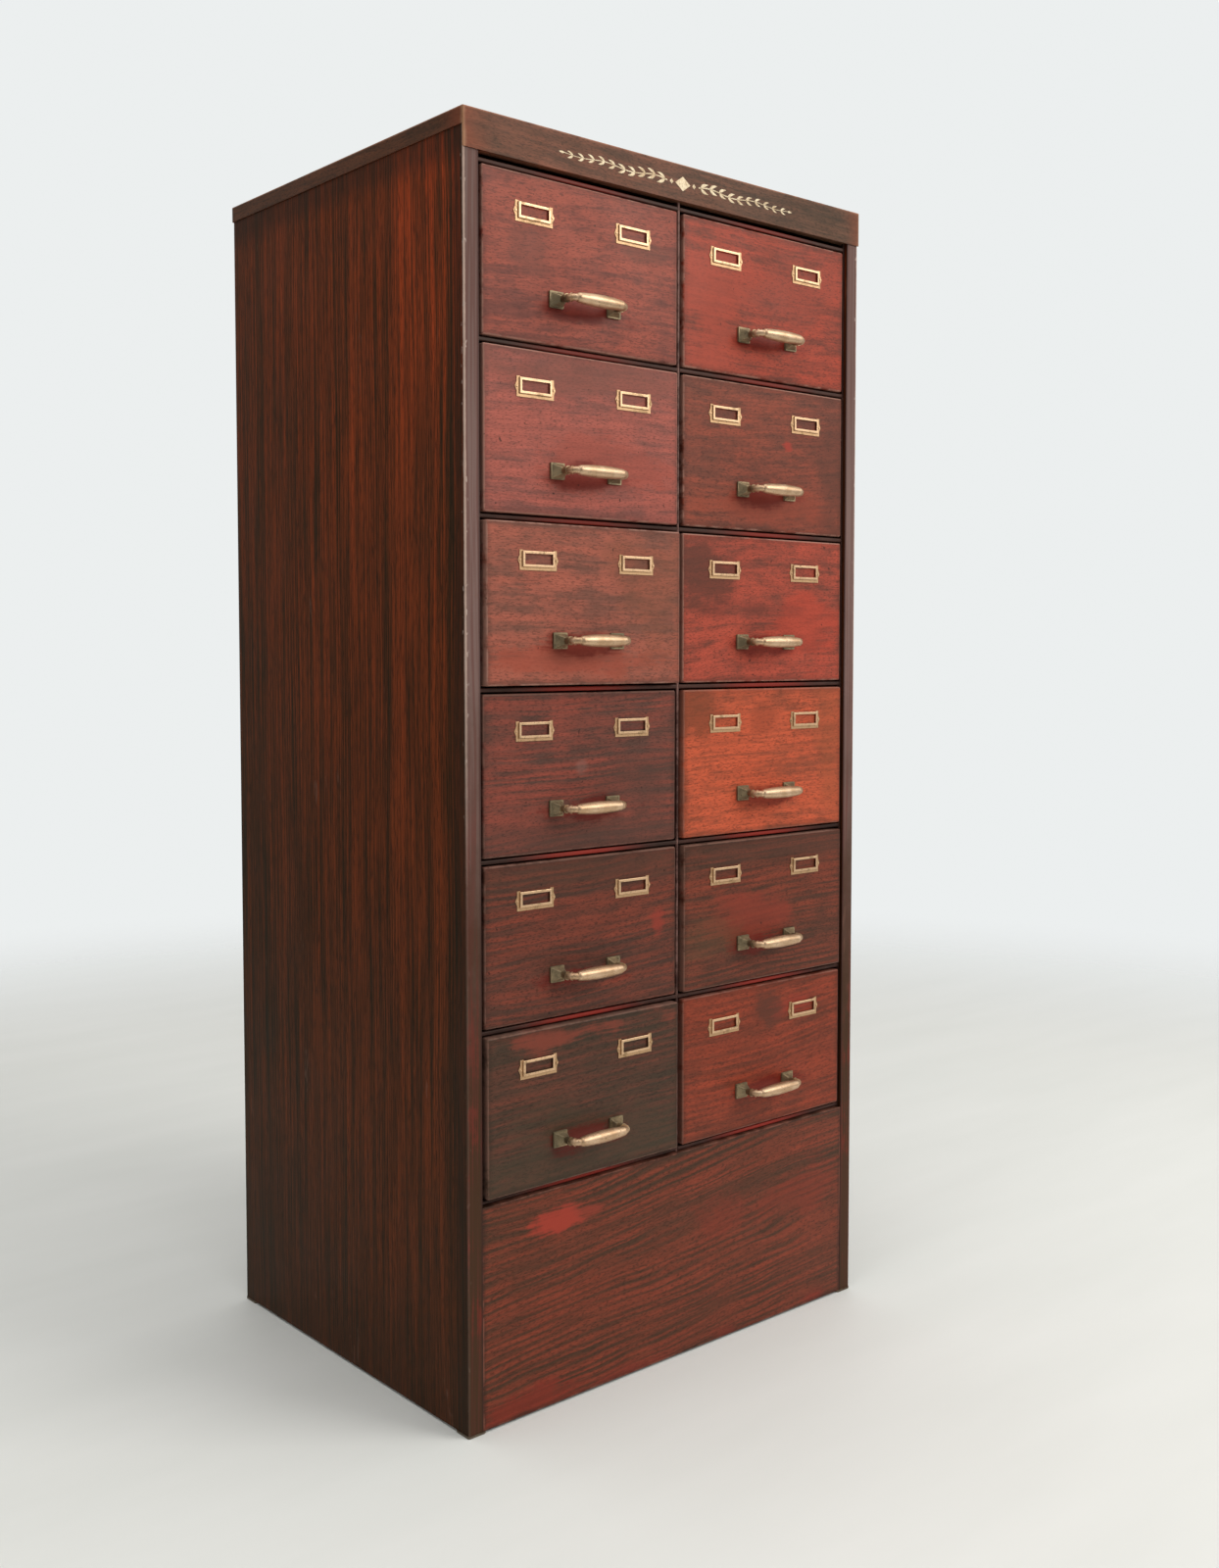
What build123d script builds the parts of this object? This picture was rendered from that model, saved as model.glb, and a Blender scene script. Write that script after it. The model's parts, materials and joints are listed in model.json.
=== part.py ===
from build123d import *

import os
from math import cos, radians, sin

# Sheet-steel pattern filing cabinet: twelve drawers, two columns of six, over a plain plinth.
#
# +X is to the right, -Y towards the user and +Z up.  The origin is on the floor, under the middle
# of the whole object's bounding box, which the pulls in front belong to.  Sizes are millimetres.

# ---------------------------------------------------------------- overall size
HEIGHT = 1450.0
CAP_WIDTH = 650.0
BODY_WIDTH = 647.0
BODY_DEPTH = 503.0
SHEET = 1.2  # wall thickness of every folded panel
FIT = 0.3  # free play between neighbouring sheets

# ---------------------------------------------------------------- drawers
ROWS = 6
COLUMNS = {"a": -152.0, "b": 152.0}  # column letter: x of its middle
FRONT_WIDTH = 292.0
FRONT_HEIGHT = 181.0
FRONT_THICKNESS = 16.0
EDGE_RADIUS = 2.4
ROW_PITCH = 190.0
LOWEST_FRONT = 264.0  # bottom edge of the lowest drawer fronts
DRAWER_SETBACK = 3.0  # face of a closed drawer behind the stiles
TRAVEL = 370.0
# how far some drawers are left standing open
AJAR = {"1a": 1.5, "2a": 3.0, "3a": 7.5, "5a": 1.0, "6a": 6.0, "4b": 2.0, "5b": 3.5, "6b": 2.0}

TRAY_WIDTH = 288.0
TRAY_LENGTH = 455.0
TRAY_WALL = 118.0
TRAY_LIFT = 3.0  # tray floor above the bottom edge of the front
TRAY_HEM = 4.0  # safe edges folded inwards along the tops of the sides
DIVIDER_HEIGHT = 12.0
DIVIDER_WIDTH = 14.0
STOP_DROP = 8.0
STOP_WIDTH = 30.0

# ---------------------------------------------------------------- front grid
STILE_WIDTH = 20.0
STILE_RETURN = 4.7  # how deep the stile's inner edge is folded back
GRID_SETBACK = 5.0  # rails and mullion behind the stiles
RAIL_HEIGHT = 5.0
RAIL_DEPTH = 26.5
RAIL_GAP = 2.0  # between a rail and the drawer front above it
MULLION_HALF = 2.0
POST_INNER_X = 300.5
POST_OUTER_X = 321.0
POST_DEPTH = 43.5
POST_FLANGE = 12.0
NOSE_RADIUS = 1.6

# ---------------------------------------------------------------- base and cap
GLIDE_HEIGHT = 3.0
GLIDE_SIZE = 25.0
GLIDE_OVERHANG = 0.8
PLINTH_TOP = 256.0
PAN_FLANGE_HEIGHT = 20.0
PAN_FLANGE_LENGTH = 240.0
PAN_SIDE_FLANGE_LENGTH = 390.0
FASCIA_HEIGHT = 43.0
CAP_FLANGE_HEIGHT = 19.0
CAP_RADIUS = 1.6

# ---------------------------------------------------------------- runners and screws
LEDGE_WIDTH = 16.0
RUNNER_GUIDE = 16.8
BACK_SCREW_X = 314.5
BACK_SCREW_HEIGHTS = (60.0, 390.0, 720.0, 1050.0, 1385.0)
BACK_SCREW_RADIUS = 2.0
BACK_SCREW_REACH = 8.0
BACK_HEAD_RADIUS = 4.0
BACK_HEAD_HEIGHT = 1.5
HEAD_TAPER = 30
HOLE_PLAY = 0.1

# ---------------------------------------------------------------- brass pull
PULL_HEIGHT = 50.0  # centre above the bottom edge of the front
FOOT_SPACING = 86.0
FOOT_WIDTH = 20.0
FOOT_HEIGHT = 18.5
FOOT_THICKNESS = 2.5
FOOT_BEVEL = 1.5
FOOT_TOP = 10.0  # where the foot's pyramid ends in the neck
NECK_X = 40.5
NECK_RADIUS = 4.0
BEND_START = 17.0  # distance from the drawer face
BEND_RADIUS = 10.0
GRIP_HALF_LENGTH = 36.0
GRIP_RADIUS = 7.2
SHOULDER_LENGTH = 5.2
SHOULDER_RADIUS = 5.6
COLLAR_ANGLES = (0, 35)  # collars along the bend
COLLAR_RADIUS = 5.0
COLLAR_HALF_LENGTH = 0.8
PULL_SCREW_RADIUS = 2.0
PULL_SCREW_REACH = 6.0
PULL_HEAD_RADIUS = 4.0
PULL_HEAD_HEIGHT = 2.4
THREAD_PLAY = 0.05

# ---------------------------------------------------------------- card frames
CARD_DROP = 42.0  # frame centre below the top edge of the front
CARD_OFFSET = 74.0  # frame centre from the middle of the drawer
CARD_BASE_WIDTH = 53.0
CARD_BASE_HEIGHT = 22.5
CARD_EAR_WIDTH = 58.0
CARD_EAR_HALF = 5.0
CARD_BASE_THICKNESS = 0.8
CARD_RIM_WIDTH = 46.0
CARD_RIM_HEIGHT = 18.0
CARD_RIM_LIFT = 1.2  # rim centre above the base centre
CARD_RIM_DEPTH = 2.6
CARD_RIM_ROUND = 0.7
CARD_WINDOW_WIDTH = 40.0
CARD_WINDOW_HEIGHT = 12.0
CARD_POCKET_MARGIN = 1.8  # how far the card goes behind the rim
CARD_POCKET_DEPTH = 1.6
PIN_X = 26.0
PIN_RADIUS = 0.85
PIN_HEAD_RADIUS = 1.6
PIN_HEAD_HEIGHT = 0.9
PIN_REACH = 3.0

# ---------------------------------------------------------------- derived places
SIDES = (-1, 1)
CAP_GAP = SHEET + FIT  # cap skin outside the body
STANDOFF = BEND_START + BEND_RADIUS  # grip axis in front of the drawer face
FRONT_REACH = STANDOFF + GRIP_RADIUS + max(AJAR.values()) - DRAWER_SETBACK
FACE_Y = (FRONT_REACH - BODY_DEPTH - CAP_GAP) / 2  # front plane of the stiles
GRID_Y = FACE_Y + GRID_SETBACK
CLOSED_Y = FACE_Y + DRAWER_SETBACK
BACK_Y = FACE_Y + BODY_DEPTH
MIDDLE_Y = FACE_Y + BODY_DEPTH / 2
HALF_BODY = BODY_WIDTH / 2
STILE_INNER = HALF_BODY - STILE_WIDTH
INSIDE_X = HALF_BODY - SHEET - FIT
POST_TOP = HEIGHT - SHEET
FASCIA_BOTTOM = HEIGHT - FASCIA_HEIGHT
POST_BOTTOM = GLIDE_HEIGHT + SHEET
BACK_PANEL_Y = BACK_Y - 2 * SHEET - FIT  # front side of the back panel
REAR_POST_Y = BACK_PANEL_Y - FIT  # rear side of the rear uprights
RAIL_REAR_Y = GRID_Y + RAIL_DEPTH


def front_plane(x, y, z):
    """Upright plane: local X to the right, local Y up, local Z out towards the user."""
    return Plane(origin=(x, y, z), x_dir=(1, 0, 0), z_dir=(0, -1, 0))


def save(part, name):
    part.label = name
    export_step(part, f"parts/{name}.step")


# ================================================================ carcass
def back_screw_places():
    return [(side * BACK_SCREW_X, z) for side in SIDES for z in BACK_SCREW_HEIGHTS]


def back_drill():
    """The clearance holes of all the back screws, as solids to cut with."""
    with BuildPart() as drill:
        with BuildSketch(front_plane(0, BACK_Y + SHEET, 0)):
            with Locations(*back_screw_places()):
                Circle(BACK_SCREW_RADIUS + HOLE_PLAY)
        extrude(amount=BACK_SCREW_REACH)
    return drill.part


def side_panel(side):
    """Side skin folded into the front stile, with its inner edge turned back, and a rear return."""
    edge_x = side * (STILE_INNER + SHEET / 2)
    with BuildPart() as panel:
        with BuildSketch(Plane.XY.offset(GLIDE_HEIGHT)) as section:
            with Locations((side * (HALF_BODY - SHEET / 2), MIDDLE_Y)):
                Rectangle(SHEET, BODY_DEPTH)
            stile_x = side * (HALF_BODY - STILE_WIDTH / 2)
            with Locations((stile_x, FACE_Y + SHEET / 2), (stile_x, BACK_Y - SHEET / 2)):
                Rectangle(STILE_WIDTH, SHEET)
            with Locations((edge_x, FACE_Y + STILE_RETURN / 2)):
                Rectangle(SHEET, STILE_RETURN)
            corners = [v for v in section.vertices() if abs(v.X) > HALF_BODY - FIT]
            fillet(corners, radius=NOSE_RADIUS)
        extrude(amount=POST_TOP - GLIDE_HEIGHT)
        add(back_drill(), mode=Mode.SUBTRACT)
    save(panel.part, "side_panel_left" if side < 0 else "side_panel_right")


def top_cap():
    """Lid pan: a deep fascia in front, shallow flanges at the sides and the back."""
    depth = BODY_DEPTH + 2 * CAP_GAP
    with BuildPart() as cap:
        with BuildSketch(Plane.XY.offset(FASCIA_BOTTOM)):
            with Locations((0, MIDDLE_Y)):
                RectangleRounded(CAP_WIDTH, depth, CAP_RADIUS)
        extrude(amount=FASCIA_HEIGHT)
        fillet(cap.faces().sort_by(Axis.Z)[-1].edges(), radius=SHEET)
        with BuildSketch(Plane.XY.offset(FASCIA_BOTTOM)):
            with Locations((0, MIDDLE_Y)):
                Rectangle(CAP_WIDTH - 2 * SHEET, depth - 2 * SHEET)
        extrude(amount=FASCIA_HEIGHT - SHEET, mode=Mode.SUBTRACT)
        # the side and back flanges are cut short
        with BuildSketch(Plane.XY.offset(FASCIA_BOTTOM)):
            with Locations((0, FACE_Y - FIT + depth / 2)):
                Rectangle(2 * CAP_WIDTH, depth)
        extrude(amount=FASCIA_HEIGHT - CAP_FLANGE_HEIGHT, mode=Mode.SUBTRACT)
        # lower edge of the fascia, turned in
        with BuildSketch(Plane.XY.offset(FASCIA_BOTTOM)):
            with Locations((0, FACE_Y - CAP_GAP + POST_FLANGE / 2)):
                Rectangle(2 * (POST_INNER_X - FIT), POST_FLANGE)
        extrude(amount=SHEET)
    save(cap.part, "top_cap")


def back_panel():
    with BuildPart() as panel:
        with BuildSketch(Plane.XY.offset(POST_BOTTOM)):
            with Locations((0, BACK_PANEL_Y + SHEET / 2)):
                Rectangle(2 * INSIDE_X, SHEET)
        extrude(amount=POST_TOP - POST_BOTTOM)
        add(back_drill(), mode=Mode.SUBTRACT)
    save(panel.part, "back_panel")


def plinth_panel():
    """Plain kick panel between the stiles, its top edge turned back under the lowest rails."""
    face_y = FACE_Y + FIT
    with BuildPart() as panel:
        with BuildSketch(Plane.XY.offset(GLIDE_HEIGHT)):
            with Locations((0, face_y + SHEET / 2)):
                Rectangle(2 * (STILE_INNER - FIT), SHEET)
        extrude(amount=PLINTH_TOP - GLIDE_HEIGHT)
        with BuildSketch(Plane.XY.offset(PLINTH_TOP - SHEET)):
            with Locations((0, face_y + POST_FLANGE / 2)):
                Rectangle(2 * (POST_INNER_X - FIT), POST_FLANGE)
        extrude(amount=SHEET)
        outer_edge = panel.faces().sort_by(Axis.Y)[0].edges().sort_by(Axis.Z)[-1]
        fillet(outer_edge, radius=SHEET / 2)
    save(panel.part, "plinth_panel")


def base_pan():
    """Floor sheet with its edges turned up between the uprights."""
    front, rear = GRID_Y + FIT, REAR_POST_Y
    middle_y = (front + rear) / 2
    with BuildPart() as pan:
        with BuildSketch(Plane.XY.offset(GLIDE_HEIGHT)):
            with Locations((0, middle_y)):
                Rectangle(2 * INSIDE_X, rear - front)
        extrude(amount=SHEET)
        with BuildSketch(Plane.XY.offset(GLIDE_HEIGHT)):
            with Locations(*((side * (INSIDE_X - SHEET / 2), middle_y) for side in SIDES)):
                Rectangle(SHEET, PAN_SIDE_FLANGE_LENGTH)
            for column_x in COLUMNS.values():
                with Locations((column_x, front + SHEET / 2), (column_x, rear - SHEET / 2)):
                    Rectangle(PAN_FLANGE_LENGTH, SHEET)
        extrude(amount=PAN_FLANGE_HEIGHT)
    save(pan.part, "base_pan")


def uprights():
    """Four folded corner posts and a channel at the middle of the back."""
    web_width = POST_OUTER_X - POST_INNER_X
    with BuildPart() as posts:
        with BuildSketch(Plane.XY.offset(POST_BOTTOM)):
            for side in SIDES:
                web_x = side * (POST_INNER_X + web_width / 2)
                with Locations((web_x, GRID_Y + SHEET / 2), (web_x, REAR_POST_Y - SHEET / 2)):
                    Rectangle(web_width, SHEET)
                leg_x = side * (POST_INNER_X + SHEET / 2)
                with Locations((leg_x, GRID_Y + POST_DEPTH / 2), (leg_x, REAR_POST_Y - POST_DEPTH / 2)):
                    Rectangle(SHEET, POST_DEPTH)
                flange_x = side * (POST_INNER_X + POST_FLANGE / 2)
                flange_ends = (GRID_Y + POST_DEPTH - SHEET / 2, REAR_POST_Y - POST_DEPTH + SHEET / 2)
                with Locations(*((flange_x, y) for y in flange_ends)):
                    Rectangle(POST_FLANGE, SHEET)
                with Locations((side * (MULLION_HALF - SHEET / 2), REAR_POST_Y - POST_DEPTH / 2)):
                    Rectangle(SHEET, POST_DEPTH)
            with Locations((0, REAR_POST_Y - SHEET / 2)):
                Rectangle(2 * (MULLION_HALF + POST_FLANGE), SHEET)
        extrude(amount=POST_TOP - POST_BOTTOM)
        add(back_drill(), mode=Mode.SUBTRACT)
    save(posts.part, "uprights")


def centre_mullion():
    """Narrow round-nosed channel between the two columns of drawers."""
    bottom, top = PLINTH_TOP, FASCIA_BOTTOM
    with BuildPart() as mullion:
        with BuildSketch(Plane.XY.offset(bottom)) as section:
            with Locations((0, GRID_Y + POST_DEPTH / 2)):
                Rectangle(2 * MULLION_HALF, POST_DEPTH)
            fillet(section.vertices().group_by(Axis.Y)[0], radius=NOSE_RADIUS)
            with Locations((0, GRID_Y + POST_DEPTH / 2 + NOSE_RADIUS)):
                Rectangle(2 * (MULLION_HALF - SHEET), POST_DEPTH, mode=Mode.SUBTRACT)
        extrude(amount=top - bottom)
    save(mullion.part, "centre_mullion")


def cross_rails():
    """Channels open below, with a rounded nose, under and over every drawer."""
    lowest = LOWEST_FRONT - RAIL_GAP - RAIL_HEIGHT
    with BuildPart() as rails:
        for start_x in (-POST_INNER_X, MULLION_HALF):
            for k in range(ROWS + 1):
                bottom = lowest + ROW_PITCH * k
                end_plane = Plane(origin=(start_x, GRID_Y, bottom), x_dir=(0, 1, 0), z_dir=(1, 0, 0))
                with BuildSketch(end_plane) as section:
                    Rectangle(RAIL_DEPTH, RAIL_HEIGHT, align=(Align.MIN, Align.MIN))
                    fillet(section.vertices().group_by(Axis.X)[0], radius=NOSE_RADIUS)
                    with Locations((RAIL_DEPTH / 2, 0)):
                        Rectangle(
                            RAIL_DEPTH - 2 * NOSE_RADIUS,
                            RAIL_HEIGHT - SHEET,
                            align=(Align.CENTER, Align.MIN),
                            mode=Mode.SUBTRACT,
                        )
                extrude(amount=POST_INNER_X - MULLION_HALF)
    save(rails.part, "cross_rails")


def runner_places():
    """For every runner: the wall it stands against, the way to the drawer, the top of its ledge."""
    inner_walls = ((POST_INNER_X, -1), (MULLION_HALF, 1))
    walls = [(side * x, side * inward) for side in SIDES for x, inward in inner_walls]
    tops = [LOWEST_FRONT + ROW_PITCH * row + TRAY_LIFT - FIT for row in range(ROWS)]
    return [(wall_x, inward, top) for top in tops for wall_x, inward in walls]


def drawer_runners():
    """At both sides of every drawer, a ledge that the tray slides on and a bar that guides it."""
    start_y, end_y = RAIL_REAR_Y + FIT, REAR_POST_Y - SHEET - FIT
    across = Plane(origin=(0, start_y, 0), x_dir=(-1, 0, 0), z_dir=(0, 1, 0))
    with BuildPart() as ledges:
        with BuildSketch(across):
            for wall_x, inward, top in runner_places():
                with Locations((-wall_x - inward * LEDGE_WIDTH / 2, top - SHEET / 2)):
                    Rectangle(LEDGE_WIDTH, SHEET)
        extrude(amount=end_y - start_y)
    with BuildPart() as guides:
        with BuildSketch(across):
            for wall_x, inward, top in runner_places():
                with Locations((-wall_x - inward * SHEET / 2, top + RUNNER_GUIDE / 2)):
                    Rectangle(SHEET, RUNNER_GUIDE)
        extrude(amount=end_y - start_y)
    save(Compound([*ledges.part.solids(), *guides.part.solids()]), "drawer_runners")


def corner_glides():
    """Pressed steel plates that the cabinet stands on, a little outside its corners."""
    x = HALF_BODY + GLIDE_OVERHANG - GLIDE_SIZE / 2
    y = (BODY_DEPTH - GLIDE_SIZE) / 2 + GLIDE_OVERHANG
    with BuildPart() as glides:
        with BuildSketch():
            with Locations(*((sx * x, MIDDLE_Y + sy * y) for sx in SIDES for sy in SIDES)):
                RectangleRounded(GLIDE_SIZE, GLIDE_SIZE, GLIDE_HEIGHT)
        extrude(amount=GLIDE_HEIGHT)
        chamfer(glides.faces().group_by(Axis.Z)[0].edges(), length=GLIDE_OVERHANG)
    save(glides.part, "corner_glides")


def back_screws():
    with BuildPart() as screws:
        with BuildSketch(front_plane(0, BACK_Y, 0)):
            with Locations(*back_screw_places()):
                Circle(BACK_SCREW_RADIUS)
        extrude(amount=BACK_SCREW_REACH)
        with BuildSketch(front_plane(0, BACK_Y, 0)):
            with Locations(*back_screw_places()):
                Circle(BACK_HEAD_RADIUS)
        extrude(amount=-BACK_HEAD_HEIGHT, taper=HEAD_TAPER)
    save(screws.part, "back_screws")


# ================================================================ drawer pieces
# A drawer is built with the middle of its front's bottom edge at the origin and its face at Y = 0.
def pull_screw_places():
    return [(side * FOOT_SPACING / 2, PULL_HEIGHT) for side in SIDES]


def card_places():
    return [(side * CARD_OFFSET, FRONT_HEIGHT - CARD_DROP) for side in SIDES]


def pin_places():
    return [(x + side * PIN_X, z) for x, z in card_places() for side in SIDES]


def drawer_front():
    """Outer pan with rounded edges, closed at the rear by a flat inner head."""
    rear = front_plane(0, FRONT_THICKNESS, FRONT_HEIGHT / 2)
    with BuildPart() as pan:
        with BuildSketch(rear):
            RectangleRounded(FRONT_WIDTH, FRONT_HEIGHT, EDGE_RADIUS)
        extrude(amount=FRONT_THICKNESS)
        fillet(pan.faces().sort_by(Axis.Y)[0].edges(), radius=EDGE_RADIUS - FIT)
        with BuildSketch(rear):
            RectangleRounded(FRONT_WIDTH - 2 * SHEET, FRONT_HEIGHT - 2 * SHEET, EDGE_RADIUS - SHEET)
        extrude(amount=FRONT_THICKNESS - SHEET, mode=Mode.SUBTRACT)
        with BuildSketch(front_plane(0, 2 * SHEET, 0)):
            with Locations(*pull_screw_places()):
                Circle(PULL_SCREW_RADIUS + HOLE_PLAY)
            with Locations(*pin_places()):
                Circle(PIN_RADIUS + THREAD_PLAY)
        extrude(amount=3 * SHEET, mode=Mode.SUBTRACT)
    with BuildPart() as head:
        inset = SHEET + HOLE_PLAY
        with BuildSketch(rear):
            RectangleRounded(FRONT_WIDTH - 2 * inset, FRONT_HEIGHT - 2 * inset, EDGE_RADIUS - SHEET)
        extrude(amount=SHEET)
    return Compound([pan.part.solid(), head.part.solid()])


def drawer_tray():
    """Floor, hemmed sides, back wall, a low rib between the two rows of envelopes, and a stop."""
    half = TRAY_WIDTH / 2
    start = Plane(origin=(0, FRONT_THICKNESS, TRAY_LIFT), x_dir=(-1, 0, 0), z_dir=(0, 1, 0))
    stop_y = RAIL_REAR_Y - CLOSED_Y + TRAVEL + FIT
    with BuildPart() as floor:
        with BuildSketch(start):
            with Locations((0, SHEET / 2)):
                Rectangle(TRAY_WIDTH - 2 * SHEET, SHEET)
        extrude(amount=TRAY_LENGTH)
    with BuildPart() as walls:
        with BuildSketch(start):
            for side in SIDES:
                with Locations((side * (half - SHEET / 2), TRAY_WALL / 2)):
                    Rectangle(SHEET, TRAY_WALL)
                with Locations((side * (half - TRAY_HEM / 2), TRAY_WALL - SHEET / 2)):
                    Rectangle(TRAY_HEM, SHEET)
        extrude(amount=TRAY_LENGTH)
    with BuildPart() as back_wall:
        wall = TRAY_WALL - 2 * SHEET
        with BuildSketch(front_plane(0, FRONT_THICKNESS + TRAY_LENGTH, TRAY_LIFT + SHEET + wall / 2)):
            Rectangle(TRAY_WIDTH - 2 * SHEET, wall)
        extrude(amount=SHEET)
    with BuildPart() as divider:
        with BuildSketch(start.offset(HOLE_PLAY)):
            with BuildLine():
                base_z, top_z = SHEET, SHEET + DIVIDER_HEIGHT
                Polyline((-DIVIDER_WIDTH / 2, base_z), (0, top_z), (DIVIDER_WIDTH / 2, base_z), close=True)
            make_face()
        extrude(amount=TRAY_LENGTH - 2 * SHEET)
    # tongue welded under the floor: at full travel it meets the rail
    with BuildPart() as tongue:
        with BuildSketch(Plane.XY.offset(TRAY_LIFT)):
            with Locations((0, stop_y + SHEET / 2)):
                Rectangle(STOP_WIDTH, SHEET)
        extrude(amount=-STOP_DROP)
    pieces = (floor, walls, back_wall, divider, tongue)
    return Compound([solid for piece in pieces for solid in piece.part.solids()])


def bend_plane(side, angle):
    """Plane across one of the pull's bends, at an angle past the neck's end."""
    turn = radians(angle)
    x = side * (NECK_X - BEND_RADIUS + BEND_RADIUS * cos(turn))
    distance = BEND_START + BEND_RADIUS * sin(turn)
    ahead = (-side * sin(turn), -cos(turn), 0)
    return Plane(origin=(x, -distance, PULL_HEIGHT), x_dir=(0, 0, 1), z_dir=ahead)


def drawer_pull():
    """Cast brass D-pull on two square feet, with the two screws that hold it from behind."""
    face = front_plane(0, 0, PULL_HEIGHT)
    bend_x = NECK_X - BEND_RADIUS
    with BuildPart() as pull:
        # barrel-shaped grip, turned about its own axis
        with BuildSketch(Plane.XY.offset(PULL_HEIGHT)):
            with BuildLine():
                Line((-GRIP_HALF_LENGTH, -STANDOFF), (GRIP_HALF_LENGTH, -STANDOFF))
                shoulder = (GRIP_HALF_LENGTH - SHOULDER_LENGTH, -STANDOFF - SHOULDER_RADIUS)
                RadiusArc((GRIP_HALF_LENGTH, -STANDOFF), shoulder, SHOULDER_RADIUS)
                ThreePointArc(shoulder, (0, -STANDOFF - GRIP_RADIUS), (-shoulder[0], shoulder[1]))
                RadiusArc((-shoulder[0], shoulder[1]), (-GRIP_HALF_LENGTH, -STANDOFF), SHOULDER_RADIUS)
            make_face()
        revolve(axis=Axis((0, -STANDOFF, PULL_HEIGHT), (1, 0, 0)))
        for side in SIDES:
            with BuildSketch(bend_plane(side, 0)):
                Circle(NECK_RADIUS)
            revolve(axis=Axis((side * bend_x, -BEND_START, PULL_HEIGHT), (0, 0, -side)), revolution_arc=90)
            with BuildSketch(bend_plane(side, 0)):
                Circle(NECK_RADIUS)
            extrude(amount=FOOT_THICKNESS - BEND_START)
            for angle in COLLAR_ANGLES:
                with BuildSketch(bend_plane(side, angle)):
                    Circle(COLLAR_RADIUS)
                extrude(amount=COLLAR_HALF_LENGTH, both=True)
            # square foot, then a pyramid up to the neck
            foot_x = side * FOOT_SPACING / 2
            with BuildSketch(face):
                with Locations((foot_x, 0)):
                    RectangleRounded(FOOT_WIDTH, FOOT_HEIGHT, 1)
            extrude(amount=FOOT_THICKNESS)
            with BuildSketch(face.offset(FOOT_THICKNESS)):
                with Locations((foot_x, 0)):
                    RectangleRounded(FOOT_WIDTH - 2 * FOOT_BEVEL, FOOT_HEIGHT - 2 * FOOT_BEVEL, 1)
            with BuildSketch(face.offset(FOOT_TOP)):
                with Locations((side * NECK_X, 0)):
                    RectangleRounded(2 * NECK_RADIUS, 2 * NECK_RADIUS, 1)
            loft()
        with BuildSketch(face):
            with Locations(*((side * FOOT_SPACING / 2, 0) for side in SIDES)):
                Circle(PULL_SCREW_RADIUS + THREAD_PLAY)
        extrude(amount=PULL_SCREW_REACH + FIT, mode=Mode.SUBTRACT)
    with BuildPart() as screws:
        behind = face.offset(-SHEET)
        with BuildSketch(behind):
            with Locations(*((side * FOOT_SPACING / 2, 0) for side in SIDES)):
                Circle(PULL_SCREW_RADIUS)
        extrude(amount=PULL_SCREW_REACH + SHEET)
        with BuildSketch(behind):
            with Locations(*((side * FOOT_SPACING / 2, 0) for side in SIDES)):
                Circle(PULL_HEAD_RADIUS)
        extrude(amount=-PULL_HEAD_HEIGHT)
    return Compound([pull.part.solid(), *screws.part.solids()])


def card_frame(x, z):
    """Pressed card holder: a flange with pointed ears and a raised rim, open above for the card."""
    face = front_plane(x, 0, z)
    half_w, half_h, ear = CARD_BASE_WIDTH / 2, CARD_BASE_HEIGHT / 2, CARD_EAR_WIDTH / 2
    with BuildPart() as frame:
        with BuildSketch(face):
            with BuildLine():
                Polyline((0, -half_h), (half_w, -half_h), (half_w, -CARD_EAR_HALF), (ear, 0))
                Polyline((ear, 0), (half_w, CARD_EAR_HALF), (half_w, half_h), (0, half_h))
                mirror(about=Plane.YZ)
            make_face()
        extrude(amount=CARD_BASE_THICKNESS)
        with BuildSketch(face):
            with Locations((0, CARD_RIM_LIFT)):
                RectangleRounded(CARD_RIM_WIDTH, CARD_RIM_HEIGHT, CARD_RIM_ROUND)
        extrude(amount=CARD_RIM_DEPTH)
        fillet(frame.faces().sort_by(Axis.Y)[0].edges(), radius=CARD_RIM_ROUND)
        with BuildSketch(face):
            with Locations((0, CARD_RIM_LIFT)):
                Rectangle(CARD_WINDOW_WIDTH, CARD_WINDOW_HEIGHT)
        extrude(amount=CARD_RIM_DEPTH, mode=Mode.SUBTRACT)
        pocket_bottom = CARD_RIM_LIFT - CARD_WINDOW_HEIGHT / 2 - CARD_POCKET_MARGIN
        with BuildSketch(face):
            with Locations((0, (pocket_bottom + half_h) / 2)):
                Rectangle(CARD_WINDOW_WIDTH + 2 * CARD_POCKET_MARGIN, half_h - pocket_bottom)
        extrude(amount=CARD_POCKET_DEPTH, mode=Mode.SUBTRACT)
        with BuildSketch(face):
            with Locations((-PIN_X, 0), (PIN_X, 0)):
                Circle(PIN_RADIUS + THREAD_PLAY)
        extrude(amount=CARD_BASE_THICKNESS, mode=Mode.SUBTRACT)
    return frame.part.solids()


def card_frames():
    """Two card frames and the four round-headed pins that hold them."""
    frames = [solid for x, z in card_places() for solid in card_frame(x, z)]
    with BuildPart() as pins:
        with BuildSketch(front_plane(0, PIN_REACH, 0)):
            with Locations(*pin_places()):
                Circle(PIN_RADIUS)
        extrude(amount=PIN_REACH + CARD_BASE_THICKNESS)
        with BuildSketch(front_plane(0, -CARD_BASE_THICKNESS, 0)):
            with Locations(*pin_places()):
                Circle(PIN_HEAD_RADIUS)
        extrude(amount=PIN_HEAD_HEIGHT, taper=HEAD_TAPER)
    return Compound([*frames, *pins.part.solids()])


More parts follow.
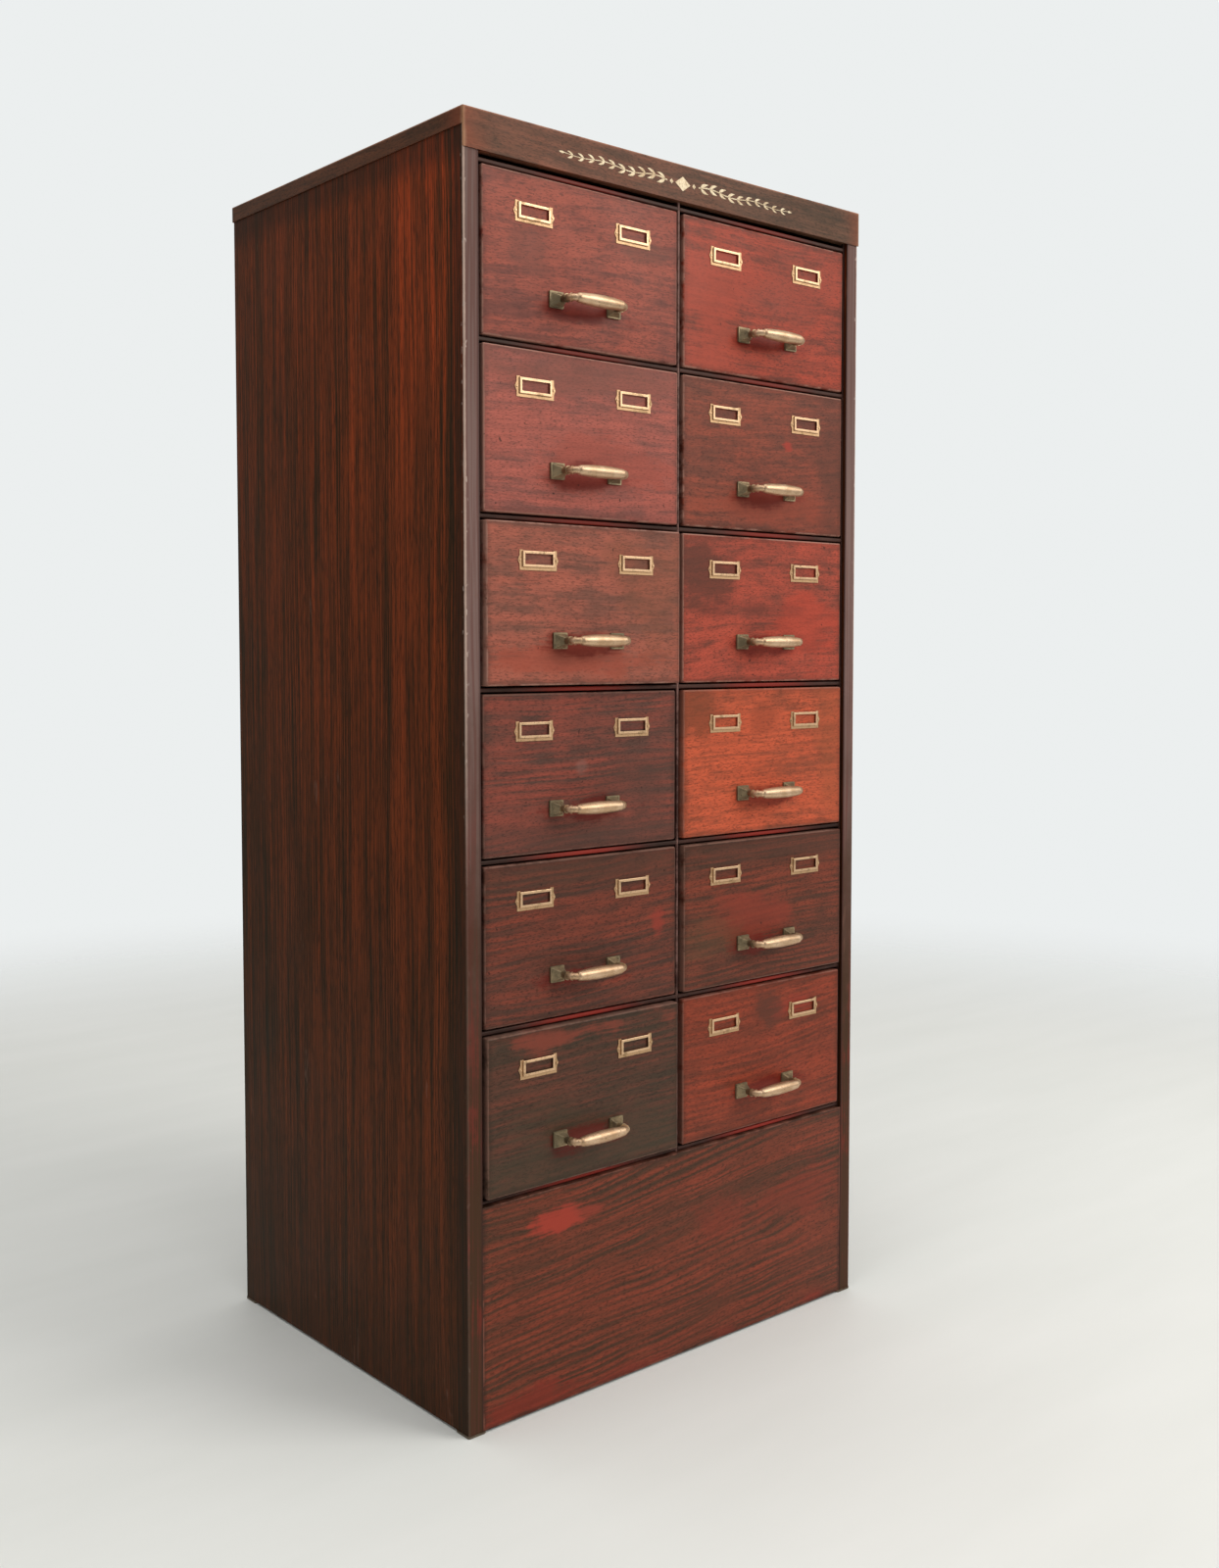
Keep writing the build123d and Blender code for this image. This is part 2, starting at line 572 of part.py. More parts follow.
def drawers():
    """The four nodes of every drawer: row 1 is the top row, column a the left one."""
    pieces = {
        "front": drawer_front(),
        "tray": drawer_tray(),
        "pull": drawer_pull(),
        "card_frames": card_frames(),
    }
    for row in range(1, ROWS + 1):
        for column, x in COLUMNS.items():
            y = CLOSED_Y - AJAR.get(f"{row}{column}", 0.0)
            z = LOWEST_FRONT + ROW_PITCH * (ROWS - row)
            for piece, shape in pieces.items():
                save(shape.moved(Location((x, y, z))), f"drawer_{row}{column}_{piece}")


os.makedirs("parts", exist_ok=True)
for panel_side in SIDES:
    side_panel(panel_side)
top_cap()
back_panel()
plinth_panel()
base_pan()
uprights()
centre_mullion()
cross_rails()
drawer_runners()
corner_glides()
back_screws()
drawers()
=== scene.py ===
import json
import math

import bmesh
import bpy
from mathutils import Matrix, Vector

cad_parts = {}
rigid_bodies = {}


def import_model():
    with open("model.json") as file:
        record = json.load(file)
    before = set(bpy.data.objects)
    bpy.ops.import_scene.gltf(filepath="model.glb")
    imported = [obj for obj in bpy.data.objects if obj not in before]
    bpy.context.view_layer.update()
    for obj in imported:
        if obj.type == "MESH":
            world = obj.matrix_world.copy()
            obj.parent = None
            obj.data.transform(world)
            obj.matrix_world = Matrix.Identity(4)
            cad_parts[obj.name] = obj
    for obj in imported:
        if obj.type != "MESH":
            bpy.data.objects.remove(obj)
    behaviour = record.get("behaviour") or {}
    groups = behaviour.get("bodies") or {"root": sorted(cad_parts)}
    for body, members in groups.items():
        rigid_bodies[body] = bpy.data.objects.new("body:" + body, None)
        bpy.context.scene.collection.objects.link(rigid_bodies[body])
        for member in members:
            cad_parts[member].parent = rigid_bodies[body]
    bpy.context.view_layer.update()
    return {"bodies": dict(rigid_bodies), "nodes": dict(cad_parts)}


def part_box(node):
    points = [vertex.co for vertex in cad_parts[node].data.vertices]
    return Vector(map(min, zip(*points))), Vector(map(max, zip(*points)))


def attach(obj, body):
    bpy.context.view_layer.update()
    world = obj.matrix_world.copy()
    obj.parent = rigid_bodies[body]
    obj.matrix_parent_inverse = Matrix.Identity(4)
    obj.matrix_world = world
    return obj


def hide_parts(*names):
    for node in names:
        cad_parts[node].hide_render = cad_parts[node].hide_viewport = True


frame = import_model()
NODES = frame["nodes"]
DRAWERS = [name for name in frame["bodies"] if name.startswith("drawer_")]

# Wood-grained steel filing cabinet: the looks.  Metres, +X right, -Y towards the user, +Z up.
# Colours written as three numbers are display colours, 0 to 255 a channel.


def srgb(red, green, blue):
    """Display colour as a linear one."""
    def linear(value):
        share = value / 255
        return share / 12.92 if share <= 0.04045 else ((share + 0.055) / 1.055) ** 2.4
    return (linear(red), linear(green), linear(blue), 1.0)


def deeper(colour, share):
    """Display colour as a linear one, darkened to a share of itself."""
    return tuple(value * share for value in srgb(*colour)[:3]) + (1.0,)


# ---------------------------------------------------------------- places, from the frame
LEFT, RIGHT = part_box("side_panel_left"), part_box("side_panel_right")
CAP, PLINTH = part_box("top_cap"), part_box("plinth_panel")
MULLION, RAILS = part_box("centre_mullion"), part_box("cross_rails")
STILE_Y = LEFT[0].y  # front plane of the stiles
FASCIA_Y = CAP[0].y
COLUMN_X = abs(sum(corner.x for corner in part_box("drawer_1a_front"))) / 2  # middle of a column

# ---------------------------------------------------------------- sizes and shine of the lacquer
FRONT_GRAIN_DEPTH = 0.0146  # how far back the grain runs round the edges of a front
STILE_WIDTH = 0.0195  # from the outer corner to its dark inner edge
LINE_SPACING = 0.0088  # of the grain's long parallel ripples
RUBBED_AND_HIGHLIT_ROWS = "123"  # rows of drawers whose edges are palest, rubbed and with a painted highlight
WARM_GLOSS = (1.0, 0.84, 0.70, 1.0)  # tint of the lacquers' shine
PLAIN_GLOSS = (1.0, 1.0, 1.0, 1.0)


# ---------------------------------------------------------------- looks of the printed grain
def look(light, dark, share, *patches, lines=0.05, strokes=0.5, cloud=0.45, fine=0.25, soft=0.30,
         sway=0.04, run=1.0):
    """How one piece is printed.

    light, dark: the two colours of its grain; share: how much of it is dark
    lines: strength of its long parallel ripples
    strokes, cloud, fine: weights of its short wisps, of its blotches and of its thin streaks
    soft: width of the fade between the two colours
    sway: how far the grain wanders, in metres; run: how fast it changes along its length
    patches: (x, z, half width, half height, colour, strength), from the middle of the piece
    """
    return dict(light=light, dark=dark, share=share, patches=patches, lines=lines, strokes=strokes,
                cloud=cloud, fine=fine, soft=soft, sway=sway, run=run)


PULL_PATCH = (0.0, -0.046, 0.058, 0.013, (96, 12, 8), 0.7)  # deep red lacquer left under a pull
RIPPLED = dict(lines=0.17, strokes=0.27, cloud=0.30, soft=0.38)  # the two lowest rows
FRONTS = {
    "1a": look((158, 75, 59), (113, 57, 49), 0.47,
               (-0.085, 0.0, 0.03, 0.03, (102, 57, 49), 0.5),
               (0.1, 0.035, 0.06, 0.014, (96, 57, 47), 0.5), cloud=0.5),
    "1b": look((167, 63, 43), (118, 52, 38), 0.44,
               (-0.1, -0.01, 0.06, 0.09, (162, 63, 45), 0.6),
               (0.06, 0.03, 0.08, 0.05, (120, 59, 47), 0.35), cloud=0.5),
    "2a": look((172, 89, 76), (131, 77, 69), 0.47,
               (0.0, 0.07, 0.2, 0.02, (116, 69, 59), 0.6),
               (0.03, -0.03, 0.1, 0.03, (156, 71, 57), 0.5), cloud=0.5),
    "2b": look((146, 70, 52), (107, 60, 48), 0.49,
               (0.03, -0.06, 0.12, 0.022, (144, 65, 47), 0.6),
               (0.13, 0.0, 0.03, 0.1, (88, 53, 43), 0.6),
               (0.04, 0.02, 0.01, 0.006, (174, 55, 43), 0.7)),
    "3a": look((168, 92, 74), (126, 80, 67), 0.48,
               (-0.02, -0.062, 0.15, 0.018, (160, 75, 57), 0.7),
               (0.1, 0.02, 0.06, 0.09, (122, 75, 55), 0.4), cloud=0.6),
    "3b": look((177, 76, 58), (120, 64, 52), 0.47,
               (-0.11, 0.05, 0.06, 0.04, (88, 51, 41), 0.8),
               (0.08, -0.02, 0.07, 0.05, (176, 63, 45), 0.5),
               (-0.02, 0.0, 0.06, 0.014, (112, 53, 43), 0.5)),
    "4a": look((142, 70, 57), (90, 62, 54), 0.50,
               (0.1, -0.01, 0.07, 0.04, (82, 57, 49), 0.5),
               (0.0, -0.075, 0.2, 0.02, (84, 57, 49), 0.6),
               (-0.004, 0.006, 0.009, 0.008, (138, 104, 94), 0.35), lines=0.15, strokes=0.34, soft=0.34),
    "4b": look((199, 89, 58), (148, 75, 52), 0.45,
               (-0.13, 0.07, 0.05, 0.03, (116, 61, 39), 0.7),
               (0.12, 0.01, 0.03, 0.1, (146, 77, 49), 0.5),
               (0.0, 0.055, 0.02, 0.02, (140, 65, 43), 0.5)),
    "5a": look((128, 60, 45), (78, 52, 43), 0.50,
               (0.116, 0.0, 0.012, 0.012, (150, 57, 45), 0.7),
               (0.0, 0.075, 0.2, 0.02, (82, 55, 43), 0.5), **RIPPLED),
    "5b": look((130, 60, 43), (75, 50, 39), 0.51,
               (-0.03, -0.01, 0.07, 0.03, (140, 55, 41), 0.6),
               (0.0, 0.08, 0.2, 0.02, (78, 53, 43), 0.5),
               (-0.1, -0.03, 0.05, 0.03, (82, 67, 47), 0.4), **RIPPLED),
    "6a": look((106, 58, 45), (66, 52, 41), 0.53,
               (-0.01, 0.078, 0.13, 0.014, (128, 61, 47), 0.9),
               (0.0, -0.06, 0.2, 0.05, (64, 57, 43), 0.5), **RIPPLED),
    "6b": look((148, 61, 40), (104, 51, 36), 0.48,
               (0.01, 0.06, 0.03, 0.025, (88, 49, 37), 0.8),
               (0.07, 0.06, 0.04, 0.02, (154, 57, 43), 0.6), **RIPPLED),
}
PLINTH_LOOK = look((132, 58, 40), (72, 48, 34), 0.50,
                   (-0.19, 0.085, 0.032, 0.012, (164, 58, 44), 0.9),
                   (-0.145, 0.089, 0.02, 0.008, (148, 58, 44), 0.7),
                   (-0.25, -0.115, 0.09, 0.02, (132, 42, 30), 0.6),
                   (0.2, 0.03, 0.16, 0.03, (126, 48, 34), 0.4),
                   lines=0.26, strokes=0.14, cloud=0.24, soft=0.42, sway=0.06)
SIDE_LOOK = look((120, 54, 24), (38, 31, 16), 0.50, lines=0.0, strokes=0.25, cloud=0.15, fine=0.55,
                 soft=0.42, sway=0.012, run=0.3)
CAP_LOOK = look((120, 74, 55), (78, 55, 41), 0.50, strokes=0.3, cloud=0.3, soft=0.36)


# ---------------------------------------------------------------- shader building
class Shading:
    """One material, with short ways to add its nodes."""

    def __init__(self, name):
        self.material = bpy.data.materials.new(name)
        self.material.use_nodes = True
        self.tree = self.material.node_tree
        self.shader = self.tree.nodes["Principled BSDF"]
        place = self.add("TexCoord")
        self.position, self.facing = place.outputs["Object"], place.outputs["Normal"]
        self.x, self.y, self.z = self.add("SeparateXYZ", [self.position]).outputs

    def add(self, kind, inputs=(), **settings):
        made = self.tree.nodes.new("ShaderNode" + kind)
        for key, value in settings.items():
            setattr(made, key, value)
        for place, value in enumerate(inputs):
            self.put(made.inputs[place], value)
        return made

    def put(self, socket, value):
        if isinstance(value, bpy.types.NodeSocket):
            self.tree.links.new(value, socket)
        elif value is not None:
            socket.default_value = value

    # numbers

    def math(self, operation, *values):
        return self.add("Math", values, operation=operation).outputs[0]

    def total(self, *values):
        found = values[0]
        for value in values[1:]:
            found = self.math("ADD", found, value)
        return found

    def product(self, *values):
        found = values[0]
        for value in values[1:]:
            found = self.math("MULTIPLY", found, value)
        return found

    def less(self, value, taken):
        return self.math("SUBTRACT", value, taken)

    def size(self, value):
        return self.math("ABSOLUTE", value)

    def distance(self, first, second):
        """Length of a vector of two parts."""
        return self.math("SQRT", self.total(self.math("POWER", first, 2.0), self.math("POWER", second, 2.0)))

    def step(self, value, low, high):
        """0 at low to 1 at high, smoothly; low may be the larger one."""
        made = self.add("MapRange", interpolation_type="SMOOTHSTEP")
        ends = (1.0, 0.0) if low > high else (0.0, 1.0)
        names = ("Value", "From Min", "From Max", "To Min", "To Max")
        for name, number in zip(names, (value, min(low, high), max(low, high), *ends)):
            self.put(made.inputs[name], number)
        return made.outputs[0]

    def inside(self, low, high):
        """How far a point is inside the outline of a box seen from the front, in metres."""
        found = None
        for at, start, end in ((self.x, low.x, high.x), (self.z, low.z, high.z)):
            for value in (self.less(at, start), self.less(end, at)):
                found = value if found is None else self.math("MINIMUM", found, value)
        return found

    # noises

    def vector(self, x, y, z):
        return self.add("CombineXYZ", (x, y, z)).outputs[0]

    def noise(self, vector, detail=2.0, rough=0.5):
        made = self.add("TexNoise")
        self.put(made.inputs["Vector"], vector)
        for name, number in (("Scale", 1.0), ("Detail", detail), ("Roughness", rough)):
            made.inputs[name].default_value = number
        return made.outputs["Fac"]

    def streaky(self, scale, seed, detail=2.0, rough=0.5):
        """Noise with its own number of features a metre along each axis."""
        shift = (seed * 3.17, seed * 1.73, seed * 2.39)
        place = self.add("VectorMath", (self.position, scale, shift), operation="MULTIPLY_ADD")
        return self.noise(place.outputs[0], detail, rough)

    def even(self, scale, seed, detail=2.0, rough=0.5):
        """Noise with as many features a metre every way."""
        return self.streaky((scale, scale, scale), seed, detail, rough)

    # colours

    def mix(self, share, first, second, blend="MIX"):
        made = self.add("Mix", data_type="RGBA", blend_type=blend)
        for place, value in ((0, share), (6, first), (7, second)):
            self.put(made.inputs[place], value)
        return made.outputs[2]

    def times(self, colour, tint):
        return self.mix(1.0, colour, tint, "MULTIPLY")

    def between(self, share, first, second):
        """From one display colour to another."""
        return self.mix(share, srgb(*first), srgb(*second))

    def paint(self, colour, tint, *masks):
        """A display colour laid over a colour where all the masks let it."""
        return self.mix(self.product(*masks), colour, srgb(*tint))

    # the shader itself

    def bump(self, *layers):
        """Stacks (height, distance, strength) layers into the shader's normal."""
        normal = None
        for height, distance, strength in layers:
            made = self.add("Bump")
            made.inputs["Strength"].default_value = strength
            made.inputs["Distance"].default_value = distance
            self.put(made.inputs["Height"], height)
            self.put(made.inputs["Normal"], normal)
            normal = made.outputs[0]
        self.put(self.shader.inputs["Normal"], normal)

    def finish(self, colour, roughness, metallic=0.0, specular=0.5, gloss=PLAIN_GLOSS):
        for name, value in (("Base Color", colour), ("Roughness", roughness), ("Metallic", metallic),
                            ("Specular IOR Level", specular), ("Specular Tint", gloss)):
            self.put(self.shader.inputs[name], value)
        return self.material


def dress(node, material):
    """Gives a CAD node one material all over."""
    mesh = NODES[node].data
    mesh.materials.clear()
    mesh.materials.append(material)


# ---------------------------------------------------------------- grained lacquer
def grain(s, along, across, style, seed, slope=0.0):
    """Colour of the printed grain, and the cloud, streak and pore noises that it is made of."""
    def layer(lengthwise, widthwise, scale_along, scale_across, shift, detail, rough=0.5):
        """Noise with so many features a metre along and across the grain."""
        place = s.vector(s.product(lengthwise, scale_along), s.product(widthwise, scale_across), seed + shift)
        return s.noise(place, detail, rough)

    sway = layer(along, across, 2.2, 4.0, 0.0, 1.0)
    ripple = layer(along, across, 9.0, 20.0, 4.1, 1.0)
    wavy = s.total(across, s.product(sway, style["sway"]), s.product(ripple, style["sway"] * 0.2),
                   s.product(along, slope))
    run = s.product(along, style["run"])
    broad = layer(run, wavy, 1.1, 30.0, 1.3, 2.0)
    bands = layer(run, wavy, 2.4, 112.0, 6.3, 1.0)
    wisps = layer(run, wavy, 26.0, 92.0, 7.7, 4.0, 0.62)
    streaks = layer(run, wavy, 14.0, 360.0, 2.2, 2.0)
    pores = layer(run, wavy, 190.0, 760.0, 3.7, 2.0)
    cloud = layer(along, across, 10.0, 15.0, 5.9, 5.0, 0.68)
    # long ripples, bent by the bands and gone where the ripple noise is low
    phase = s.total(s.product(wavy, 2 * math.pi / LINE_SPACING), s.product(bands, 9.0), s.product(broad, 8.0))
    ripples = s.product(s.math("SINE", phase), s.step(ripple, 0.30, 0.60), style["lines"] * 0.5)
    # all layers weighed together, about a middle of 0.5
    weights = (0.25, 0.25, style["strokes"], style["cloud"], style["fine"])
    layers = (broad, bands, wisps, cloud, streaks)
    level = s.total(ripples, 0.5 - sum(weights) / 2, *(s.product(*pair) for pair in zip(layers, weights)))
    half = style["soft"] / 2
    fade = s.step(level, style["share"] - half, style["share"] + half)
    colour = s.between(fade, style["dark"], style["light"])
    fine = s.total(0.64, s.product(streaks, 0.44), s.product(wisps, 0.28))
    colour = s.times(colour, s.vector(fine, fine, fine))
    pore = s.product(s.step(pores, 0.50, 0.66), 0.60)
    return s.mix(pore, colour, deeper(style["dark"], 0.45)), cloud, streaks, pores


def patched(s, colour, cloud, streaks, centre, patches):
    """Blotches of other colours where the lacquer has faded or darkened unevenly."""
    ragged = s.total(s.product(cloud, 4.0), s.product(streaks, 1.2), -2.6)
    for x, z, half_width, half_height, tint, strength in patches:
        across = s.math("DIVIDE", s.less(s.x, centre.x + x), half_width)
        up = s.math("DIVIDE", s.less(s.z, centre.z + z), half_height)
        patch = s.step(s.less(s.distance(across, up), ragged), 1.25, 0.45)
        colour = s.paint(colour, tint, patch, strength)
    return colour


def film(s, colour, pores, wear_and_highlight, seed, specular=0.2):
    """The satin film over the grain, thinner and duller where it is worn."""
    dull = s.even(14, seed, detail=3.0, rough=0.6)
    smudge = s.even(3.1, seed + 7)
    roughness = s.total(0.27, s.product(dull, 0.18), s.product(smudge, 0.14), s.product(wear_and_highlight, 0.2))
    dents = s.even(5.5, seed + 2, detail=1.0)
    peel = s.even(420, seed, detail=1.0)
    s.bump((dents, 0.004, 0.35), (pores, 0.0002, 0.22), (peel, 0.0002, 0.14))
    return s.finish(colour, roughness, specular=specular, gloss=WARM_GLOSS)


def rubbed_and_highlit_edge(s, distance, width, seed, broken=0.5):
    """Mask of the rubbed line along an edge, broken up at random; on the drawer fronts and the side's corner
    the line is also a painted highlight.
    """
    gaps = s.even(60, seed + 11, detail=3.0, rough=0.7)
    slow = s.even(7, seed + 12, detail=1.0)
    line = s.step(s.less(distance, s.product(gaps, width)), width, 0.0)
    return s.product(line, s.step(s.total(gaps, s.product(slow, 0.8)), broken + 0.25, broken + 0.55))


def front_material(name, seed):
    """Grained lacquer of one drawer front, from its own box."""
    node = f"drawer_{name}_front"
    low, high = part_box(node)
    style = FRONTS[name]
    s = Shading("front_grain_" + name)
    colour, cloud, streaks, pores = grain(s, s.x, s.z, style, seed, slope=-0.03)
    colour = patched(s, colour, cloud, streaks, (low + high) / 2, style["patches"] + (PULL_PATCH,))
    # darker along the border, and lacquer rubbed off the edges, most of all in the upper rows
    inside = s.inside(low, high)
    border = s.step(s.total(inside, s.product(cloud, 0.012)), 0.016, 0.005)
    colour = s.mix(s.product(border, 0.55), colour, deeper(style["dark"], 0.5))
    # pale line along the edges: rubbed lacquer with a painted highlight
    wear_and_highlight = rubbed_and_highlit_edge(s, inside, 0.0016, seed, broken=0.42)
    colour = s.paint(colour, (176, 132, 116), wear_and_highlight, 0.70 if name[0] in RUBBED_AND_HIGHLIT_ROWS else 0.30)
    # the inner head behind is plain
    behind = s.step(s.less(s.y, low.y), FRONT_GRAIN_DEPTH, FRONT_GRAIN_DEPTH + 0.0008)
    colour = s.mix(behind, colour, s.between(s.step(cloud, 0.35, 0.65), (62, 50, 42), (88, 74, 62)))
    specks = s.even(170, seed + 20, detail=1.0)
    colour = s.paint(colour, (38, 26, 22), s.step(specks, 0.77, 0.80), 0.7)
    dress(node, film(s, colour, pores, wear_and_highlight, seed))


def plinth_material():
    """Plinth: wide rippled grain, rubbed red here and there along its foot."""
    seed = 31.0
    low, high = PLINTH
    s = Shading("plinth_grain")
    colour, cloud, streaks, pores = grain(s, s.x, s.z, PLINTH_LOOK, seed, slope=-0.05)
    colour = patched(s, colour, cloud, streaks, (low + high) / 2, PLINTH_LOOK["patches"])
    inside = s.inside(low, high)
    rubbed = s.step(s.total(s.less(s.z, low.z), s.product(cloud, 0.03)), 0.034, 0.008)
    places = s.even(9, seed + 5, detail=1.0)
    colour = s.paint(colour, (150, 48, 38), rubbed, s.step(places, 0.52, 0.64), 0.7)
    border = s.step(s.total(inside, s.product(cloud, 0.008)), 0.011, 0.004)
    colour = s.paint(colour, (44, 28, 22), border, 0.6)
    wear_and_highlight = rubbed_and_highlit_edge(s, inside, 0.0015, seed)
    colour = s.paint(colour, (150, 96, 80), wear_and_highlight, 0.5)
    dress("plinth_panel", film(s, colour, pores, wear_and_highlight, seed))


def stile_colour(s, cloud, streaks, outer_x):
    """The stile is mauve above, from dust and a painted sheen, and redder below."""
    # dust and painted sheen: lighter and mauve higher up, darker and browner lower down
    dust_and_sheen = s.step(s.total(s.z, s.product(cloud, 0.5)), 0.60, 1.25)
    colour = s.between(dust_and_sheen, (72, 50, 36), (128, 103, 97))
    colour = s.paint(colour, (100, 78, 72), s.step(s.z, 1.0, 1.3), 0.5)
    colour = s.paint(colour, (96, 52, 44), s.step(streaks, 0.46, 0.60), 0.45)
    red = s.product(s.step(s.total(cloud, s.product(streaks, 0.4)), 0.72, 0.86), s.step(s.z, 0.9, 0.2))
    colour = s.paint(colour, (128, 48, 40), red, 0.5)
    inner_edge = s.step(s.size(s.x), abs(outer_x) - STILE_WIDTH + 0.003, abs(outer_x) - STILE_WIDTH)
    return s.paint(colour, (60, 40, 38), inner_edge, 0.6)


def side_material(node, box, outer_x, seed):
    """Side skin with upright grain, and the stile that is folded from it."""
    dark_brown = (38, 29, 19)
    top_z = box[1].z
    s = Shading(node + "_grain")
    colour, cloud, streaks, pores = grain(s, s.z, s.total(s.x, s.y), SIDE_LOOK, seed)
    # painted light and shade: darker below and behind, lighter and redder towards the top and the front;
    # heights are above the floor
    rise = s.step(s.z, 0.30, 1.25)
    colour = s.times(colour, s.mix(rise, (0.80, 0.86, 0.80, 1.0), (1.50, 1.24, 1.0, 1.0)))
    # painted light at the top front of the side
    top_front_light = s.product(s.step(s.z, 1.00, 1.42), s.step(s.y, STILE_Y + 0.22, STILE_Y + 0.02))
    colour = s.mix(top_front_light, colour, s.times(colour, (1.75, 1.35, 1.20, 1.0)))
    # painted shade towards the back and near the floor
    colour = s.paint(colour, (52, 42, 30), s.step(s.y, STILE_Y + 0.25, STILE_Y + 0.50), 0.35)
    colour = s.paint(colour, (50, 38, 26), s.step(s.z, 0.30, 0.02), 0.45)
    # dark bands along the fold and under the cap, then the stile itself
    depth = s.less(s.y, STILE_Y)
    fold = s.step(s.total(depth, s.product(streaks, 0.012)), 0.040, 0.016)
    colour = s.paint(colour, dark_brown, fold, 0.7)
    shaded = s.step(s.total(s.z, s.product(cloud, 0.03)), top_z - 0.050, top_z - 0.016)
    colour = s.paint(colour, dark_brown, shaded, 0.55)
    on_stile = s.step(depth, 0.0016, 0.0004)
    colour = s.mix(on_stile, colour, stile_colour(s, cloud, streaks, outer_x))
    # rubbed line down the upper part of the outer corner, which is also a painted highlight, chipped here and
    # there
    corner = s.distance(s.less(s.x, outer_x), depth)
    wear_and_highlight = rubbed_and_highlit_edge(s, corner, 0.0018, seed, broken=0.22)
    upper = s.total(0.06, s.product(s.step(s.z, 0.55, 0.95), 0.84))
    colour = s.paint(colour, (206, 178, 162), wear_and_highlight, upper)
    chips = s.streaky((240, 240, 90), seed + 8)
    colour = s.paint(colour, (190, 170, 158), s.step(chips, 0.66, 0.69), s.step(corner, 0.006, 0.002), upper)
    scuffs = s.streaky((30, 30, 6), seed + 9, detail=4.0, rough=0.75)
    colour = s.paint(colour, (120, 84, 70), s.step(scuffs, 0.66, 0.72), 0.35)
    dress(node, film(s, colour, pores, wear_and_highlight, seed, specular=0.06))


def cap_material():
    """Cap: the grain runs along the fascia and along each flange."""
    seed = 47.0
    low, high = CAP
    s = Shading("cap_grain")
    facing_x = s.add("SeparateXYZ", [s.facing]).outputs[0]
    sideways = s.step(s.size(facing_x), 0.45, 0.55)
    along = s.total(s.product(s.x, s.less(1.0, sideways)), s.product(s.y, sideways))
    across = s.total(s.z, s.product(s.y, s.less(1.0, sideways)))
    colour, cloud, streaks, pores = grain(s, along, across, CAP_LOOK, seed)
    # the side flanges are painted darker, as shade, and the fascia darkens to the right
    colour = s.mix(sideways, colour, s.times(colour, (0.62, 0.62, 0.46, 1.0)))
    tone = s.mix(s.step(s.x, -0.20, 0.25), (1.12, 1.02, 1.0, 1.0), (0.72, 0.88, 0.90, 1.0))
    colour = s.times(colour, tone)
    # rubbed round the front corners, and bare at their very edges
    corner_x = s.less(high.x, s.size(s.x))
    depth = s.less(s.y, low.y)
    below_top = s.less(high.z, s.z)
    near = s.distance(corner_x, depth)
    rubbed = s.step(s.total(near, s.product(cloud, 0.07)), 0.075, 0.030)
    colour = s.paint(colour, (150, 72, 44), rubbed, 0.45)
    bare = s.step(s.total(near, s.product(cloud, 0.012)), 0.012, 0.004)
    colour = s.paint(colour, (196, 156, 120), bare, 0.6)
    edge = s.math("MINIMUM", s.math("MAXIMUM", depth, below_top), s.math("MAXIMUM", corner_x, below_top))
    wear_and_highlight = rubbed_and_highlit_edge(s, edge, 0.0017, seed, broken=0.36)
    colour = s.paint(colour, (178, 128, 104), wear_and_highlight, 0.7)
    # dust on the flat top
    dust_and_sheen = s.even(4, seed, detail=4.0, rough=0.7)
    on_top = s.step(below_top, 0.0006, 0.0001)
    colour = s.paint(colour, (140, 116, 104), on_top, s.step(dust_and_sheen, 0.35, 0.75), 0.35)
    dress("top_cap", film(s, colour, pores, wear_and_highlight, seed, specular=0.14))


# ---------------------------------------------------------------- plain lacquers and steel
def plain_lacquer(name, base, worn, seed, nose_y=None, scratch=0.5):
    """One-colour lacquer, cloudy and scratched, and rubbed along a nose at nose_y if it has one."""
    s = Shading(name)
    cloud = s.even(8, seed, detail=4.0, rough=0.6)
    lines = s.streaky((260, 9, 260), seed + 3, detail=3.0, rough=0.7)
    marks = s.even(90, seed + 5, detail=4.0, rough=0.8)
    colour = s.mix(s.step(cloud, 0.30, 0.70), deeper(base, 0.6), srgb(*base))
    rubbed = s.product(s.step(lines, 0.60, 0.72), scratch)
    rubbed = s.math("MAXIMUM", rubbed, s.product(s.step(marks, 0.64, 0.72), scratch * 0.7))
    if nose_y is not None:
        nose = s.step(s.less(s.y, nose_y), 0.0022, 0.0006)
        rubbed = s.math("MAXIMUM", rubbed, s.product(nose, s.step(s.total(cloud, marks), 0.82, 1.12)))
    colour = s.paint(colour, worn, rubbed)
    roughness = s.total(0.36, s.product(cloud, 0.25), s.product(rubbed, -0.08))
    s.bump((cloud, 0.002, 0.2), (marks, 0.0003, 0.2))
    return s.finish(colour, roughness, specular=0.2, gloss=WARM_GLOSS)


def steel(name, base, rust, seed, streak):
    """Bare sheet steel: rolled lines, dull patches and a little rust."""
    s = Shading(name)
    lines = s.streaky(streak, seed, detail=3.0, rough=0.6)
    cloud = s.even(11, seed + 2, detail=4.0, rough=0.65)
    spots = s.even(120, seed + 4, detail=3.0, rough=0.7)
    colour = s.mix(s.step(s.total(lines, cloud), 0.75, 1.2), deeper(base, 0.55), srgb(*base))
    rusty = s.product(s.step(s.total(s.product(cloud, 0.6), s.product(spots, 0.6)), 0.62, 0.76), 0.8)
    colour = s.paint(colour, rust, rusty)
    s.bump((lines, 0.0003, 0.3), (spots, 0.0004, 0.3))
    roughness = s.total(0.34, s.product(lines, 0.2), s.product(rusty, 0.3))
    return s.finish(colour, roughness, metallic=0.85)


